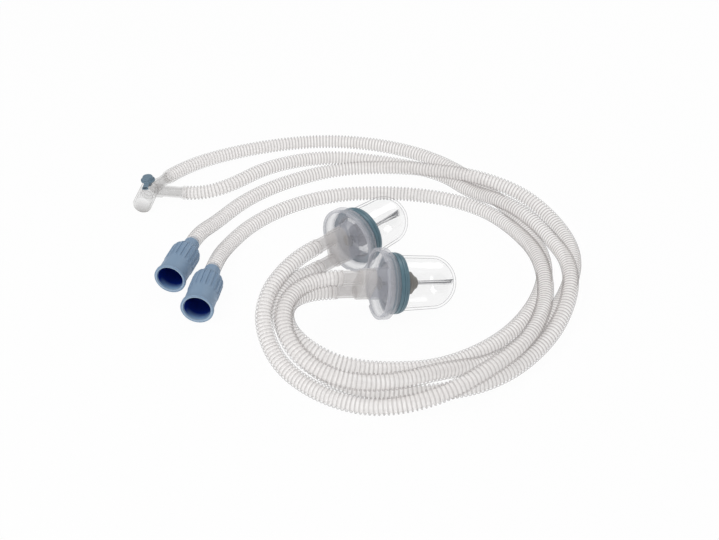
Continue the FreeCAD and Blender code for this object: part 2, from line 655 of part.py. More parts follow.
def main():
    """Write one STEP file for each piece."""
    os.makedirs("parts", exist_ok=True)
    for name, shape in build().items():
        print(name, len(shape.Solids), shape.isValid(), round(shape.Volume, 1))
        shape.exportStep("parts/" + name + ".step")


main()
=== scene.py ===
"""Neonatal breathing circuit, dressed: clear corrugated hoses, two water traps, wye and cuffs.

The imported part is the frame. Each class below dresses one sub-assembly of it, in metres, in the
frame's own coordinates. Shapes are drawn in millimetres along a piece's own axis and are placed
once, when their mesh is finished.
"""

from __future__ import annotations

import json
import logging
import math
from abc import ABC, abstractmethod
from dataclasses import dataclass, field
from enum import Enum
from typing import Any, Sequence

import bmesh
import bpy
import numpy as np
from mathutils import Matrix, Vector

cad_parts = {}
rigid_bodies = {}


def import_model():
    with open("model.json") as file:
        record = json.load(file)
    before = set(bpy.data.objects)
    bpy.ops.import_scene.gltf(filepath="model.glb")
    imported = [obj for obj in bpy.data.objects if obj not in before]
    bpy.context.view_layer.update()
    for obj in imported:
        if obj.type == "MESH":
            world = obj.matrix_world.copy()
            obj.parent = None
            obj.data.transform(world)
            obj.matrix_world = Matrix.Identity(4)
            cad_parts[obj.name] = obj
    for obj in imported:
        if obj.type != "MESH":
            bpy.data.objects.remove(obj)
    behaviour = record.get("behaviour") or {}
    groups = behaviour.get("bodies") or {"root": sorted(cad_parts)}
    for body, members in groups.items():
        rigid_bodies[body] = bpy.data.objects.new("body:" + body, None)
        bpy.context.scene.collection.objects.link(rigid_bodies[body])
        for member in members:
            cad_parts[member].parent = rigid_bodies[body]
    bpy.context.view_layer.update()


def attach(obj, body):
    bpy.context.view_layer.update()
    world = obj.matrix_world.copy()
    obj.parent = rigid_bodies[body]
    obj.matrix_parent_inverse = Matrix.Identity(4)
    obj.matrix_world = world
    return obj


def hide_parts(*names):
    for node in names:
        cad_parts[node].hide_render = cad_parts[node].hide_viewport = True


LOG = logging.getLogger("breathing_circuit")

MM = 0.001
FULL_TURN = 2.0 * math.pi
CLEAR_WALLS = 48  # how many clear walls a ray passes before it stops

Point = tuple[float, float, float]

# The routes of the four hoses, from one fitting to the other, in metres. They are the part's own
# points, and each hose's smooth line is the NURBS spline that has them as its control points.
ROUTE_A: tuple[Point, ...] = (
    (-0.1234, 0.1178, 0.0080), (-0.1154, 0.1327, 0.0074), (-0.0864, 0.1595, 0.0071),
    (-0.0324, 0.1859, 0.0072), (0.0343, 0.1995, 0.0076), (0.1009, 0.1878, 0.0071),
    (0.1554, 0.1535, 0.0073), (0.1961, 0.0967, 0.0071), (0.2245, 0.0342, 0.0071),
    (0.2375, -0.0334, 0.0071), (0.2203, -0.0926, 0.0071), (0.1849, -0.1437, 0.0072),
    (0.1346, -0.1758, 0.0071), (0.0881, -0.1901, 0.0162), (0.0565, -0.1915, 0.0229),
    (0.0327, -0.1819, 0.0295), (0.0167, -0.1647, 0.0333), (0.0109, -0.1447, 0.0348),
    (0.0140, -0.1279, 0.0345), (0.0218, -0.1161, 0.0326), (0.0358, -0.1064, 0.0296),
    (0.0505, -0.1022, 0.0271),
)
ROUTE_B: tuple[Point, ...] = (
    (-0.1039, 0.0888, 0.0078), (-0.0869, 0.0873, 0.0072), (-0.0583, 0.0958, 0.0111),
    (-0.0212, 0.1313, 0.0143), (0.0360, 0.1616, 0.0086), (0.0980, 0.1515, 0.0071),
    (0.1535, 0.1270, 0.0080), (0.1785, 0.0923, 0.0071), (0.2018, 0.0575, 0.0195),
    (0.2238, 0.0243, 0.0229), (0.2412, -0.0135, 0.0214), (0.2515, -0.0568, 0.0235),
    (0.2446, -0.1020, 0.0210), (0.2212, -0.1480, 0.0120), (0.1775, -0.1899, 0.0071),
    (0.1255, -0.2063, 0.0073), (0.0756, -0.2046, 0.0071), (0.0385, -0.1820, 0.0072),
    (0.0134, -0.1469, 0.0126), (0.0010, -0.1132, 0.0190), (0.0062, -0.0895, 0.0217),
    (0.0167, -0.0757, 0.0213), (0.0256, -0.0685, 0.0199), (0.0365, -0.0574, 0.0199),
)
ROUTE_C: tuple[Point, ...] = (
    (-0.0810, -0.0122, 0.0140), (-0.0773, 0.0048, 0.0140), (-0.0655, 0.0339, 0.0071),
    (-0.0423, 0.0749, 0.0071), (-0.0072, 0.1088, 0.0071), (0.0454, 0.1374, 0.0071),
    (0.1006, 0.1358, 0.0106), (0.1464, 0.1142, 0.0190), (0.1882, 0.0891, 0.0249),
    (0.2289, 0.0677, 0.0185), (0.2569, 0.0278, 0.0083), (0.2642, -0.0219, 0.0071),
    (0.2497, -0.0721, 0.0072), (0.2290, -0.1105, 0.0071), (0.2054, -0.1422, 0.0071),
    (0.1725, -0.1712, 0.0072), (0.1337, -0.1926, 0.0199), (0.0964, -0.2124, 0.0246),
    (0.0600, -0.2168, 0.0287), (0.0300, -0.2044, 0.0363), (0.0139, -0.1812, 0.0446),
    (0.0114, -0.1565, 0.0496), (0.0176, -0.1359, 0.0498), (0.0280, -0.1221, 0.0486),
    (0.0410, -0.1134, 0.0476), (0.0557, -0.1092, 0.0451),
)
ROUTE_D: tuple[Point, ...] = (
    (-0.0575, -0.0541, 0.0140), (-0.0555, -0.0368, 0.0140), (-0.0498, -0.0063, 0.0081),
    (-0.0320, 0.0307, 0.0071), (0.0000, 0.0633, 0.0072), (0.0451, 0.0864, 0.0071),
    (0.0998, 0.0904, 0.0071), (0.1517, 0.0804, 0.0071), (0.1912, 0.0573, 0.0072),
    (0.2153, 0.0135, 0.0116), (0.2279, -0.0454, 0.0226), (0.2251, -0.1053, 0.0222),
    (0.2025, -0.1631, 0.0251), (0.1661, -0.1974, 0.0234), (0.1291, -0.2188, 0.0162),
    (0.0842, -0.2236, 0.0079), (0.0446, -0.2096, 0.0071), (0.0085, -0.1783, 0.0098),
    (-0.0080, -0.1406, 0.0232), (-0.0039, -0.1121, 0.0339), (0.0069, -0.0895, 0.0373),
    (0.0153, -0.0765, 0.0387), (0.0234, -0.0663, 0.0397), (0.0343, -0.0552, 0.0397),
)


def linear(hex_colour: str) -> tuple[float, float, float, float]:
    """Turn an sRGB hex colour into linear RGBA.

    Args:
        hex_colour: A colour such as "#8FA6C0".

    Returns:
        Red, green, blue and an alpha of one, linear.
    """
    channels = []
    for start in (1, 3, 5):
        value = int(hex_colour[start:start + 2], 16) / 255.0
        channels.append(value / 12.92 if value <= 0.04045 else ((value + 0.055) / 1.055) ** 2.4)
    return (channels[0], channels[1], channels[2], 1.0)


def add_node(
    tree: bpy.types.NodeTree,
    kind: str,
    settings: dict[str, Any] | None = None,
    inputs: dict[str | int, Any] | None = None,
) -> bpy.types.Node:
    """Add a node with its settings and its inputs.

    Args:
        tree: The tree that gets the node.
        kind: The node's type.
        settings: Properties of the node.
        inputs: Values for its sockets, or the output sockets that feed them.

    Returns:
        The new node.
    """
    node = tree.nodes.new(kind)
    for name, value in (settings or {}).items():
        setattr(node, name, value)
    for name, value in (inputs or {}).items():
        if isinstance(value, bpy.types.NodeSocket):
            tree.links.new(value, node.inputs[name])
        else:
            node.inputs[name].default_value = value
    return node


class Body(Enum):
    """The bodies of the frame that pieces ride on."""

    CIRCUIT = "circuit"
    CAP = "cap"
    COLLAR = "collar"
    JAR = "jar"
    VALVE = "valve"


class Side(Enum):
    """The two water traps."""

    FRONT = "front"
    BACK = "back"


@dataclass(frozen=True)
class Finish(ABC):
    """What a piece is made of and how its surface was made."""

    name: str
    slot: str

    @abstractmethod
    def shader(self, tree: bpy.types.NodeTree) -> bpy.types.NodeSocket:
        """Build the shader.

        Args:
            tree: The material's node tree.

        Returns:
            The socket that feeds the surface.
        """

    def material(self) -> bpy.types.Material:
        """Build the material once, and find it again later.

        Returns:
            The material of this finish.
        """
        found = bpy.data.materials.get(self.name)
        if found is not None:
            return found
        material = bpy.data.materials.new(self.name)
        material.use_nodes = True
        tree = material.node_tree
        tree.nodes.clear()
        surface = self.shader(tree)
        add_node(tree, "ShaderNodeOutputMaterial", inputs={"Surface": surface})
        return material

    def cloud(
        self, tree: bpy.types.NodeTree, size_mm: float, detail: float = 2.0
    ) -> bpy.types.NodeSocket:
        """Soft noise on Object coordinates.

        Args:
            tree: The material's node tree.
            size_mm: Size of one cloud in millimetres.
            detail: Octaves of the noise.

        Returns:
            The noise's factor.
        """
        place = add_node(tree, "ShaderNodeTexCoord")
        noise = add_node(
            tree, "ShaderNodeTexNoise",
            inputs={
                "Vector": place.outputs["Object"], "Scale": 1.0 / (size_mm * MM), "Detail": detail,
            },
        )
        return noise.outputs["Fac"]

    def spread(
        self, tree: bpy.types.NodeTree, value: bpy.types.NodeSocket, low: float, high: float,
        start: float = 0.0, end: float = 1.0,
    ) -> bpy.types.NodeSocket:
        """Map a value from start..end to low..high, clamped.

        Args:
            tree: The material's node tree.
            value: The value to map.
            low: Result at start.
            high: Result at end.
            start: Where the range starts.
            end: Where the range ends.

        Returns:
            The mapped value.
        """
        node = add_node(
            tree, "ShaderNodeMapRange",
            inputs={
                "Value": value, "From Min": start, "From Max": end, "To Min": low, "To Max": high,
            },
        )
        return node.outputs["Result"]

    def blend_colour(
        self, tree: bpy.types.NodeTree, factor: bpy.types.NodeSocket, first: str, second: str
    ) -> bpy.types.NodeSocket:
        """Mix two hex colours.

        Args:
            tree: The material's node tree.
            factor: Zero gives the first, one the second.
            first: Hex colour.
            second: Hex colour.

        Returns:
            The mixed colour.
        """
        node = add_node(
            tree, "ShaderNodeMix", {"data_type": "RGBA"},
            {0: factor, 6: linear(first), 7: linear(second)},
        )
        return node.outputs[2]

    def sheen(self, tree: bpy.types.NodeTree, face: float, edge: float) -> bpy.types.NodeSocket:
        """Share of mirrored light, the same from both sides of a thin wall.

        Args:
            tree: The material's node tree.
            face: Share seen face on.
            edge: Share at a grazing angle.

        Returns:
            The share.
        """
        weight = add_node(tree, "ShaderNodeLayerWeight", inputs={"Blend": 0.5})
        steep = add_node(
            tree, "ShaderNodeMath", {"operation": "POWER"}, {0: weight.outputs["Facing"], 1: 5.0}
        )
        return self.spread(tree, steep.outputs[0], face, edge)

    def grain(
        self, tree: bpy.types.NodeTree, size_mm: float, height_mm: float
    ) -> bpy.types.NodeSocket:
        """Fine bump of a moulded or eroded surface.

        Args:
            tree: The material's node tree.
            size_mm: Size of one grain in millimetres.
            height_mm: Height of the grain in millimetres.

        Returns:
            The bumped normal.
        """
        noise = self.cloud(tree, size_mm, 3.0)
        bump = add_node(
            tree, "ShaderNodeBump",
            inputs={"Height": noise, "Strength": 0.6, "Distance": height_mm * MM},
        )
        return bump.outputs["Normal"]


@dataclass(frozen=True)
class ClearSkin(Finish):
    """A clear skin that shows its edges: nearly nothing face on, and grey where it turns away."""

    face: float = 0.06
    edge: float = 0.6
    edge_from: float = 0.45
    colour: str = "#9A999D"
    tint: str = "#C9C8CA"
    gloss: float = 0.05
    shine: float = 0.8
    grain_mm: float = 0.02

    def shader(self, tree: bpy.types.NodeTree) -> bpy.types.NodeSocket:
        """Build the shader of clear polycarbonate or polystyrene."""
        bump = self.grain(tree, 6.0, self.grain_mm)
        weight = add_node(tree, "ShaderNodeLayerWeight", inputs={"Blend": 0.5})
        turn = weight.outputs["Facing"]
        body = self.spread(tree, turn, self.face, self.edge, self.edge_from, 1.0)
        colour = self.blend_colour(tree, self.cloud(tree, 9.0), self.colour, self.tint)
        clear = add_node(tree, "ShaderNodeBsdfTransparent")
        solid = add_node(tree, "ShaderNodeBsdfDiffuse", inputs={"Color": colour})
        skin = add_node(
            tree, "ShaderNodeMixShader",
            inputs={0: body, 1: clear.outputs[0], 2: solid.outputs[0]},
        )
        gloss = add_node(
            tree, "ShaderNodeBsdfGlossy", inputs={"Roughness": self.gloss, "Normal": bump}
        )
        shine = self.sheen(tree, 0.04, self.shine)
        coated = add_node(
            tree, "ShaderNodeMixShader",
            inputs={0: shine, 1: skin.outputs[0], 2: gloss.outputs[0]},
        )
        return coated.outputs[0]


@dataclass(frozen=True)
class HoseSkin(Finish):
    """Clear soft PVC, blown into rings over a smooth bore: a ring is thickest at its crest, so it
    shows there, and the bore gives the hose its milky body, which glows with painted light and
    turns to painted shade at the hose's sides."""

    crest: float = 0.45
    valley: float = 0.04
    side_fade: float = 0.55
    bore: float = 0.52
    bore_side: float = 0.74
    colour: str = "#A5A09E"
    pale: str = "#B2ADAB"
    # The milk colour glows through the emission below: painted light. The shade colour darkens the
    # lining at the hose's sides: painted shade.
    milk: str = "#F0EEED"
    shade: str = "#B9B3B0"
    painted_glow: float = 0.27

    def shader(self, tree: bpy.types.NodeTree) -> bpy.types.NodeSocket:
        """Build the shader of the corrugated hose."""
        ridge = add_node(tree, "ShaderNodeAttribute", {"attribute_name": "ridge"}).outputs["Fac"]
        weight = add_node(tree, "ShaderNodeLayerWeight", inputs={"Blend": 0.5})
        turn = weight.outputs["Facing"]
        ring = self.spread(tree, ridge, self.valley, self.crest, 0.25, 0.95)
        fade = self.spread(tree, turn, 1.0, self.side_fade, 0.6, 1.0)
        skin_alpha = add_node(
            tree, "ShaderNodeMath", {"operation": "MULTIPLY"}, {0: ring, 1: fade}
        )
        lining_alpha = self.spread(tree, turn, self.bore, self.bore_side, 0.55, 1.0)
        lining = self.spread(tree, ridge, 1.0, 0.0, -1.0, -0.9)
        alpha = add_node(
            tree, "ShaderNodeMix", {"data_type": "FLOAT"},
            {0: lining, 2: skin_alpha.outputs[0], 3: lining_alpha},
        )
        side = self.spread(tree, turn, 0.0, 1.0, 0.6, 1.0)
        milk = self.blend_colour(tree, side, self.milk, self.shade)
        colour = self.blend_colour(tree, self.cloud(tree, 14.0), self.colour, self.pale)
        body = add_node(
            tree, "ShaderNodeMix", {"data_type": "RGBA"}, {0: lining, 6: colour, 7: milk}
        )
        # Emission in the milk colour: a painted glow of the lining, which is no lamp.
        skin = add_node(
            tree, "ShaderNodeBsdfPrincipled",
            inputs={
                "Base Color": body.outputs[2], "Roughness": 0.28, "IOR": 1.53,
                "Alpha": alpha.outputs[0], "Emission Color": milk,
                "Emission Strength": self.spread(tree, ridge, self.painted_glow, 0.0, -1.0, -0.9),
            },
        )
        return skin.outputs[0]


@dataclass(frozen=True)
class Translucent(Finish):
    """A plastic that is cloudy rather than clear, and denser where it is seen on edge. It glows
    faintly in its own colour: painted light.
    """

    colour: str = "#B5B6BC"
    deep: str = "#A5A7AE"
    face: float = 0.19
    edge: float = 0.85
    roughness: float = 0.2
    grain_mm: float = 0.015
    painted_glow: float = 0.24
    edge_from: float = 0.55

    def shader(self, tree: bpy.types.NodeTree) -> bpy.types.NodeSocket:
        """Build the shader of a smoke-grey moulded plastic."""
        weight = add_node(tree, "ShaderNodeLayerWeight", inputs={"Blend": 0.5})
        body = self.spread(
            tree, weight.outputs["Facing"], self.face, self.edge, self.edge_from, 1.0
        )
        dense = add_node(tree, "ShaderNodeAttribute", {"attribute_name": "dense"})
        body = add_node(
            tree, "ShaderNodeMath", {"operation": "MAXIMUM"}, {0: body, 1: dense.outputs["Fac"]}
        ).outputs[0]
        colour = self.blend_colour(tree, self.cloud(tree, 12.0), self.colour, self.deep)
        # Emission in the plastic's own colour: a painted glow that stands in for light scattered
        # in it.
        skin = add_node(
            tree, "ShaderNodeBsdfPrincipled",
            inputs={
                "Base Color": colour, "Roughness": self.roughness, "IOR": 1.55, "Alpha": body,
                "Normal": self.grain(tree, 5.0, self.grain_mm),
                "Emission Color": colour, "Emission Strength": self.painted_glow,
            },
        )
        return skin.outputs[0]


@dataclass(frozen=True)
class Solid(Finish):
    """A dense rubber or vinyl with a faint cloud in its colour and a moulded grain."""

    colour: str = "#5F8791"
    deep: str = "#4D727C"
    roughness: float = 0.4
    cloud_mm: float = 8.0
    grain_size_mm: float = 0.5
    grain_mm: float = 0.03

    def shader(self, tree: bpy.types.NodeTree) -> bpy.types.NodeSocket:
        """Build the shader of a dense moulded piece."""
        colour = self.blend_colour(tree, self.cloud(tree, self.cloud_mm), self.colour, self.deep)
        rough = self.spread(
            tree, self.cloud(tree, 3.0), self.roughness - 0.06, self.roughness + 0.06
        )
        skin = add_node(
            tree, "ShaderNodeBsdfPrincipled",
            inputs={
                "Base Color": colour, "Roughness": rough, "IOR": 1.5,
                "Normal": self.grain(tree, self.grain_size_mm, self.grain_mm),
            },
        )
        return skin.outputs[0]


@dataclass(frozen=True)
class CuffVinyl(Solid):
    """Blue vinyl with painted shade in its bore that falls off to navy as deep as it goes, painted
    light on the bore's lower lip and a painted highlight on the mouth's rim.
    """

    # bore: painted shade deep in the bore; bore_lip_painted_light: painted light on its lower lip;
    # rim: painted highlight on the mouth's face.
    bore: str = "#00288A"
    bore_lip_painted_light: str = "#86AACA"
    rim: str = "#AFC6DA"

    def shader(self, tree: bpy.types.NodeTree) -> bpy.types.NodeSocket:
        """Build the shader of the cuff, with painted shade that deepens into its bore."""
        depth = add_node(tree, "ShaderNodeAttribute", {"attribute_name": "bore"})
        outside = self.blend_colour(tree, self.cloud(tree, self.cloud_mm), self.colour, self.deep)
        inside = self.blend_colour(
            tree, self.spread(tree, depth.outputs["Fac"], 0.0, 1.0, 0.05, 0.22),
            self.bore_lip_painted_light, self.bore
        )
        mask = self.spread(tree, depth.outputs["Fac"], 0.0, 1.0, 0.0, 0.04)
        barrel = add_node(
            tree, "ShaderNodeMix", {"data_type": "RGBA"}, {0: mask, 6: outside, 7: inside}
        )
        # The rim colour on the mouth's face is a painted highlight.
        painted_highlight_rim = self.spread(tree, depth.outputs["Fac"], 1.0, 0.0, -1.0, -0.3)
        colour = add_node(
            tree, "ShaderNodeMix", {"data_type": "RGBA"},
            {0: painted_highlight_rim, 6: barrel.outputs[2], 7: linear(self.rim)},
        )
        rough = self.spread(
            tree, self.cloud(tree, 3.0), self.roughness - 0.06, self.roughness + 0.06
        )
        skin = add_node(
            tree, "ShaderNodeBsdfPrincipled",
            inputs={
                "Base Color": colour.outputs[2], "Roughness": rough, "IOR": 1.5,
                "Normal": self.grain(tree, self.grain_size_mm, self.grain_mm),
            },
        )
        return skin.outputs[0]


@dataclass(frozen=True)
class RodWithPaintedStreaks(Finish):
    """Clear moulded rod, with dark streaks painted along its facets in place of the light it
    bends: painted refraction.
    """

    dark: str = "#1E2038"
    pale: str = "#D9DADD"

    def shader(self, tree: bpy.types.NodeTree) -> bpy.types.NodeSocket:
        """Build the shader of the rod, with painted dark refraction along the streaks of its own
        attribute.
        """
        painted_streak = add_node(tree, "ShaderNodeAttribute", {"attribute_name": "painted_streak"})
        colour = self.blend_colour(tree, painted_streak.outputs["Fac"], self.pale, self.dark)
        alpha = self.spread(tree, painted_streak.outputs["Fac"], 0.22, 0.9)
        skin = add_node(
            tree, "ShaderNodeBsdfPrincipled",
            inputs={"Base Color": colour, "Roughness": 0.08, "IOR": 1.57, "Alpha": alpha},
        )
        return skin.outputs[0]


HOSE_PVC = HoseSkin("blown_clear_pvc", "hose")
CRYSTAL = ClearSkin(
    "moulded_crystal_polystyrene", "crystal", face=0.002, edge=0.95, edge_from=0.8,
    colour="#565662", tint="#6A6A76", gloss=0.02, shine=0.08, grain_mm=0.004,
)
WYE_CLEAR = Translucent(
    "moulded_clear_polycarbonate", "clear", colour="#A3A09E", deep="#918E8C", face=0.09, edge=0.98,
    roughness=0.12, grain_mm=0.003, painted_glow=0.14, edge_from=0.7,
)
SMOKE = Translucent("smoke_styrene_acrylonitrile", "smoke")
MANIFOLD_SMOKE = Translucent(
    "frosted_smoke_styrene", "smoke", colour="#C7C4C3", deep="#B6B3B2", face=0.34, edge=0.92,
    roughness=0.32,
)
TEAL = Solid("teal_elastomer", "teal", colour="#6C8A97", deep="#587683", roughness=0.3)
VALVE_RUBBER = Solid(
    "grey_silicone", "valve_grey", colour="#96938D", deep="#87847F", roughness=0.5
)
CAP_VINYL = Solid("slate_vinyl", "cap_blue", colour="#778E9F", deep="#677E8F", roughness=0.4)
CUFF_VINYL = CuffVinyl(
    "powder_blue_vinyl", "cuff_blue", colour="#8CA5BF", deep="#7E97B1", roughness=0.48,
    cloud_mm=15.0,
)
RING_RUBBER = Solid("black_nitrile", "seal", colour="#2B2D30", deep="#1F2124", roughness=0.5)
ROD_CLEAR = RodWithPaintedStreaks("crystal_polystyrene_painted_streaks", "crystal")


@dataclass
class Viewpoint:
    """The camera at the photograph's place: 35 degrees above the table."""

    place: Point = (0.0701, -0.7801, 0.523)
    drop_degrees: float = 35.0
    lens_mm: float = 51.17
    sensor_mm: float = 36.0

    def build(self) -> None:
        """Create the camera and make it the scene's own."""
        data = bpy.data.cameras.new("viewpoint")
        data.lens = self.lens_mm
        data.sensor_width = self.sensor_mm
        data.sensor_fit = "HORIZONTAL"
        camera = bpy.data.objects.new("viewpoint", data)
        camera.location = self.place
        camera.rotation_euler = (math.radians(90.0 - self.drop_degrees), 0.0, 0.0)
        bpy.context.scene.collection.objects.link(camera)
        bpy.context.scene.camera = camera


@dataclass
class Studio:
    """A white table, an even sky and three soft lamps."""

    table_half: float = 12.0
    table_colour: str = "#F2F2F2"
    show_white: float = 0.96
    sky: float = 0.62
    lamps: tuple[tuple[str, Point, float, float], ...] = (
        ("key", (-0.7, -0.6, 1.5), 9.0, 1.0),
        ("rim", (0.9, 0.9, 1.2), 4.0, 0.7),
        ("fill", (-0.35, -1.4, 0.45), 3.0, 0.6),
    )
    target: Point = (0.05, -0.02, 0.0)

    def build(self) -> None:
        """Make the table, the sky and the lamps."""
        self._table()
        self._sky()
        for name, place, power, size in self.lamps:
            self._lamp(name, place, power, size)
        bpy.context.scene.view_settings.view_transform = "Standard"

    def _table(self) -> None:
        """The white table, which shows its own white to the eye and keeps soft shadows."""
        mesh = bmesh.new()
        bmesh.ops.create_grid(mesh, x_segments=1, y_segments=1, size=self.table_half)
        data = bpy.data.meshes.new("table")
        mesh.to_mesh(data)
        mesh.free()
        table = bpy.data.objects.new("table", data)
        bpy.context.scene.collection.objects.link(table)
        material = bpy.data.materials.new("white_table")
        material.use_nodes = True
        tree = material.node_tree
        tree.nodes.clear()
        paint = add_node(
            tree, "ShaderNodeBsdfDiffuse", inputs={"Color": linear(self.table_colour)}
        )
        white = add_node(tree, "ShaderNodeEmission", inputs={"Strength": 1.0})
        path = add_node(tree, "ShaderNodeLightPath")
        seen = path.outputs["Is Camera Ray"]
        for ray in ("Is Glossy Ray", "Is Transmission Ray"):
            seen = add_node(
                tree, "ShaderNodeMath", {"operation": "MAXIMUM"}, {0: seen, 1: path.outputs[ray]}
            ).outputs[0]
        share = add_node(
            tree, "ShaderNodeMath", {"operation": "MULTIPLY"}, {0: seen, 1: self.show_white}
        )
        mixed = add_node(
            tree, "ShaderNodeMixShader",
            inputs={0: share.outputs[0], 1: paint.outputs[0], 2: white.outputs[0]},
        )
        add_node(tree, "ShaderNodeOutputMaterial", inputs={"Surface": mixed.outputs[0]})
        data.materials.append(material)

    def _sky(self) -> None:
        """Even white light from all sides."""
        world = bpy.data.worlds.new("studio_sky")
        world.use_nodes = True
        tree = world.node_tree
        tree.nodes.clear()
        path = add_node(tree, "ShaderNodeLightPath")
        light = add_node(tree, "ShaderNodeBackground", inputs={"Strength": self.sky})
        white = add_node(tree, "ShaderNodeBackground", inputs={"Strength": 1.0})
        mixed = add_node(
            tree, "ShaderNodeMixShader",
            inputs={0: path.outputs["Is Camera Ray"], 1: light.outputs[0], 2: white.outputs[0]},
        )
        add_node(tree, "ShaderNodeOutputWorld", inputs={"Surface": mixed.outputs[0]})
        bpy.context.scene.world = world

    def _lamp(self, name: str, place: Point, power: float, size: float) -> None:
        """A soft square lamp that looks at the middle of the circuit.

        Args:
            name: The lamp's name.
            place: Where it stands, in metres.
            power: Its power in watts.
            size: The length of its side in metres.
        """
        data = bpy.data.lights.new(name, "AREA")
        data.energy = power
        data.size = size
        lamp = bpy.data.objects.new(name, data)
        lamp.location = place
        look = Vector(self.target) - Vector(place)
        lamp.rotation_euler = look.to_track_quat("-Z", "Y").to_euler()
        bpy.context.scene.collection.objects.link(lamp)


class Pen:
    """Draws the outline of a turned piece: radius along X, height along Z, in millimetres."""

    def __init__(self, start: tuple[float, float]) -> None:
        """Start an outline.

        Args:
            start: Radius and height of its first point.
        """
        self.mesh = bmesh.new()
        self.first = self.mesh.verts.new((start[0], 0.0, start[1]))
        self.last = self.first

    def line(self, *points: tuple[float, float]) -> "Pen":
        """Draw straight edges.

        Args:
            points: Radius and height of each further point.

        Returns:
            The pen.
        """
        for radius, height in points:
            corner = self.mesh.verts.new((radius, 0.0, height))
            self.mesh.edges.new((self.last, corner))
            self.last = corner
        return self

    def arc(self, centre: tuple[float, float], degrees: float, steps: int) -> "Pen":
        """Draw an arc from the last point.

        Args:
            centre: Radius and height of its centre.
            degrees: Its angle, positive from +X towards +Z.
            steps: How many edges it has.

        Returns:
            The pen.
        """
        before = set(self.mesh.verts)
        bmesh.ops.spin(
            self.mesh, geom=[self.last], cent=(centre[0], 0.0, centre[1]), axis=(0.0, -1.0, 0.0),
            angle=math.radians(degrees), steps=steps,
        )
        end = Vector((self.last.co.x - centre[0], 0.0, self.last.co.z - centre[1]))
        end = Matrix.Rotation(math.radians(degrees), 3, Vector((0.0, -1.0, 0.0))) @ end
        target = end + Vector((centre[0], 0.0, centre[1]))
        new = [v for v in self.mesh.verts if v not in before]
        self.last = min(new, key=lambda v: (v.co - target).length)
        return self

    def close(self) -> "Pen":
        """Draw the edge back to the first point."""
        self.mesh.edges.new((self.last, self.first))
        return self

    def turn(self, steps: int = 96) -> bmesh.types.BMesh:
        """Turn the outline about the Z axis.

        Args:
            steps: How many facets it gets round its axis.

        Returns:
            The closed mesh, with its faces outwards.
        """
        bmesh.ops.spin(
            self.mesh, geom=self.mesh.verts[:] + self.mesh.edges[:], cent=(0.0, 0.0, 0.0),
            axis=(0.0, 0.0, 1.0), angle=FULL_TURN, steps=steps, use_merge=True,
        )
        bmesh.ops.remove_doubles(self.mesh, verts=self.mesh.verts[:], dist=1e-4)
        bmesh.ops.recalc_face_normals(self.mesh, faces=self.mesh.faces[:])
        return self.mesh


def frame_matrix(origin: Vector, axis: Vector, up: Vector) -> Matrix:
    """Placement that turns local +Z to an axis and local +Y as near as it can to up.

    Args:
        origin: Where the local origin goes, in millimetres.
        axis: Direction of local +Z.
        up: Rough direction of local +Y.

    Returns:
        The matrix from local millimetres to metres in the frame.
    """
    z = axis.normalized()
    x = up.cross(z).normalized()
    y = z.cross(x)
    turn = Matrix((x, y, z)).transposed().to_4x4()
    return Matrix.Scale(MM, 4) @ Matrix.Translation(origin) @ turn


def heading(azimuth: float, drop: float = 0.0) -> Vector:
    """Unit vector at an azimuth from +X, falling below the horizontal.

    Args:
        azimuth: Degrees from +X towards +Y.
        drop: Degrees below the horizontal.

    Returns:
        The direction.
    """
    a, d = math.radians(azimuth), math.radians(drop)
    return Vector((math.cos(d) * math.cos(a), math.cos(d) * math.sin(a), -math.sin(d)))


def add_piece(
    name: str, mesh: bmesh.types.BMesh, finish: Finish, body: str, nodes: Sequence[str] = (),
    place: Matrix | None = None, smooth_degrees: float = 35.0, bevel_mm: float = 0.0,
) -> bpy.types.Object:
    """Turn a finished bmesh into a piece that rides on a body.

    Args:
        name: The piece's name.
        mesh: Its mesh, which is freed.
        finish: What it is made of.
        body: The body that it rides on.
        nodes: The frame's nodes that it stands for.
        place: Matrix from the mesh to metres in the frame.
        smooth_degrees: Edges that turn by more stay sharp.
        bevel_mm: Width of the rounding on its sharp edges.

    Returns:
        The piece.
    """
    if place is not None:
        bmesh.ops.transform(mesh, matrix=place, verts=mesh.verts[:])
    data = bpy.data.meshes.new(name)
    mesh.to_mesh(data)
    mesh.free()
    data.materials.append(finish.material())
    data.polygons.foreach_set("use_smooth", [True] * len(data.polygons))
    if bevel_mm == 0.0:
        data.set_sharp_from_angle(angle=math.radians(smooth_degrees))
    piece = bpy.data.objects.new(name, data)
    bpy.context.scene.collection.objects.link(piece)
    if bevel_mm > 0.0:
        bevel = piece.modifiers.new("rounded", "BEVEL")
        bevel.width = bevel_mm * MM
        bevel.segments = 2
        bevel.limit_method = "ANGLE"
        bevel.angle_limit = math.radians(smooth_degrees)
        bevel.use_clamp_overlap = True
        even = piece.modifiers.new("even_normals", "WEIGHTED_NORMAL")
        even.keep_sharp = True
    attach(piece, body)
    if nodes:
        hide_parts(*nodes)
    LOG.info("%s: %d faces on %s", name, len(data.polygons), body)
    return piece


